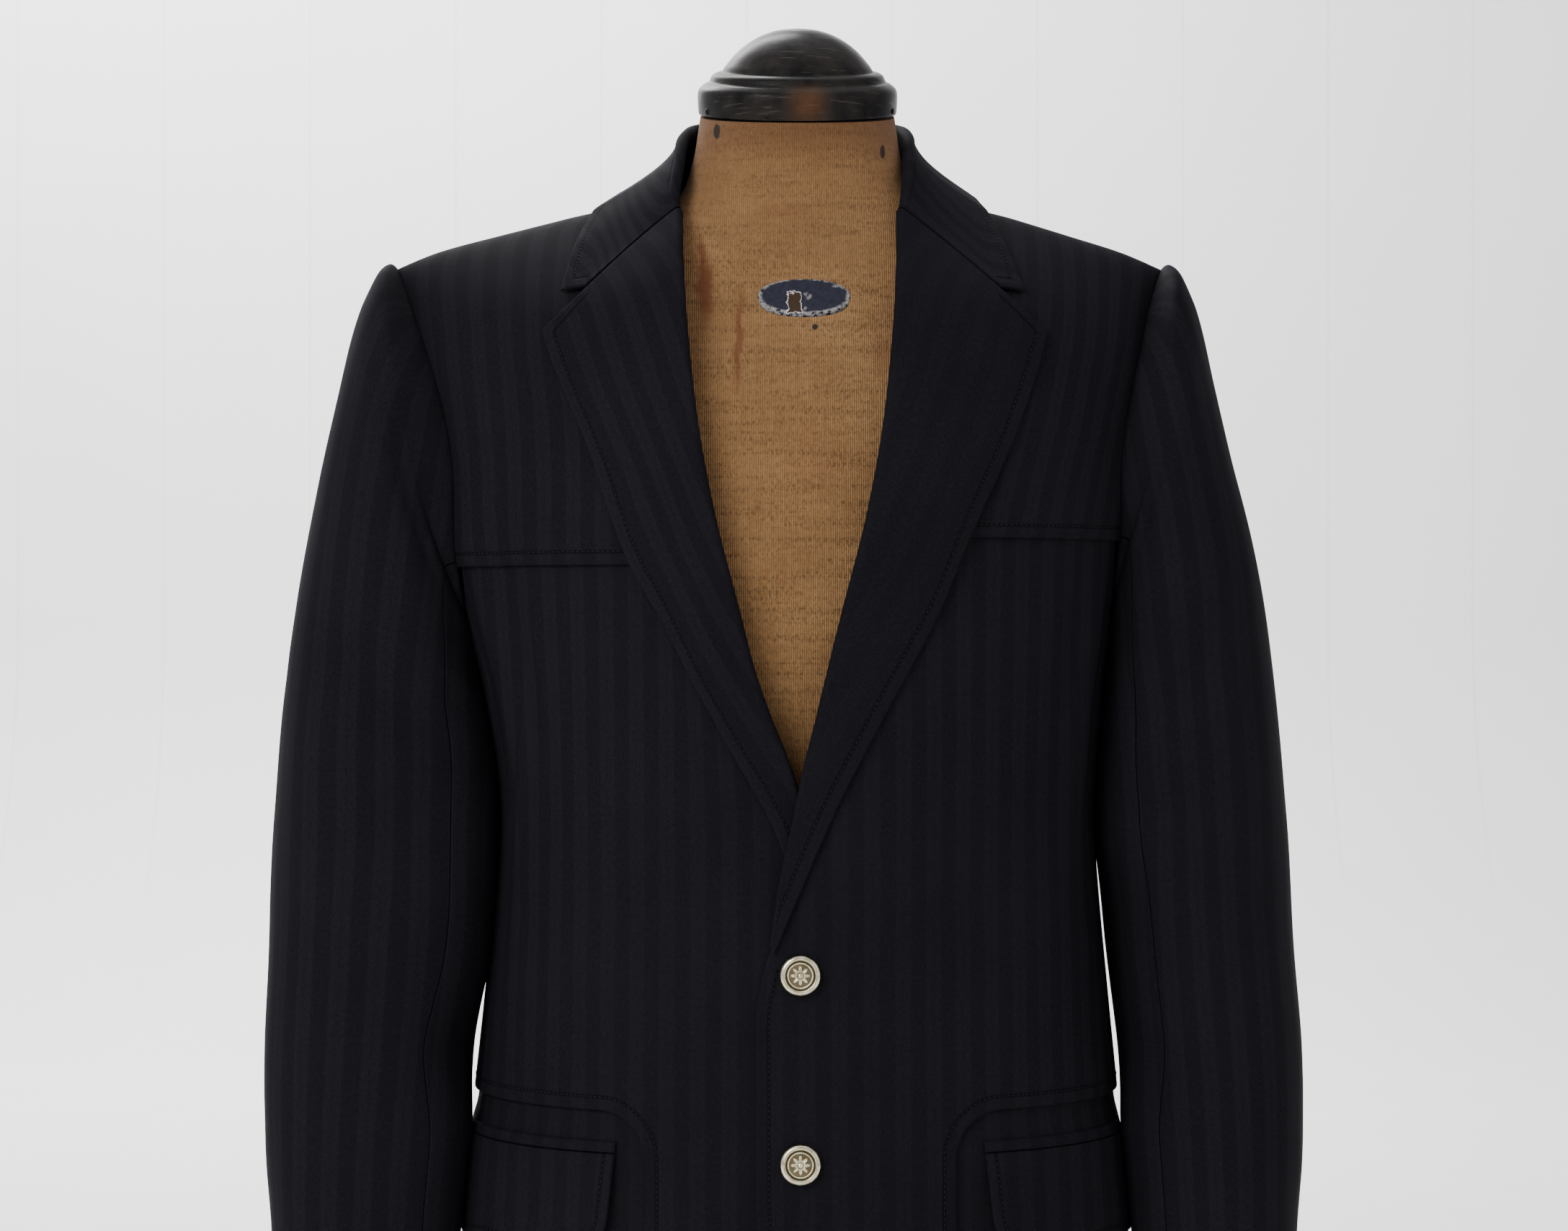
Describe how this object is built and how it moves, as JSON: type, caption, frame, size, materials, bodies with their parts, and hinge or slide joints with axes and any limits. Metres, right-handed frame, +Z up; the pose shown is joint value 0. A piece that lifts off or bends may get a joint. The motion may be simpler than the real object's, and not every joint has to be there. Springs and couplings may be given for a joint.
{
  "type": "suit jacket on dress form",
  "caption": "Single-breasted tailored jacket with notched lapels, worn open-necked by a limbless dress form with a domed neck cap on a round foot.",
  "frame": {"origin": "centre of the round foot's underside, on the floor", "axes": "+Z up, -Y the way the jacket's front faces, +X towards the wearer's left"},
  "size_m": [0.6144, 0.3, 0.9634],
  "materials": {
    "suiting": "near-black wool with tone-on-tone shadow stripes",
    "button_metal": "pale gilt, domed, satin",
    "form_jersey": "tan-brown fine knit jersey, aged",
    "cap_bronze": "dark bronzed metal, worn",
    "foot_wood": "dark polished wood"
  },
  "bodies": {
    "root": {"front_left": "suiting", "front_right": "suiting", "front_yoke_left": "suiting", "front_yoke_right": "suiting", "side_panel_left": "suiting", "side_panel_right": "suiting", "back_left": "suiting", "back_right": "suiting", "hip_panel_left": "suiting", "hip_panel_right": "suiting", "pocket_welt_left": "suiting", "pocket_welt_right": "suiting", "pocket_flap_left": "suiting", "pocket_flap_right": "suiting", "lapel_left": "suiting", "lapel_right": "suiting", "collar": "suiting", "sleeve_top_left": "suiting", "sleeve_top_right": "suiting", "sleeve_under_left": "suiting", "sleeve_under_right": "suiting", "button_upper": "button_metal", "button_lower": "button_metal", "dress_form_body": "form_jersey", "neck_cap": "cap_bronze", "form_foot": "foot_wood"}
  },
  "joints": []
}
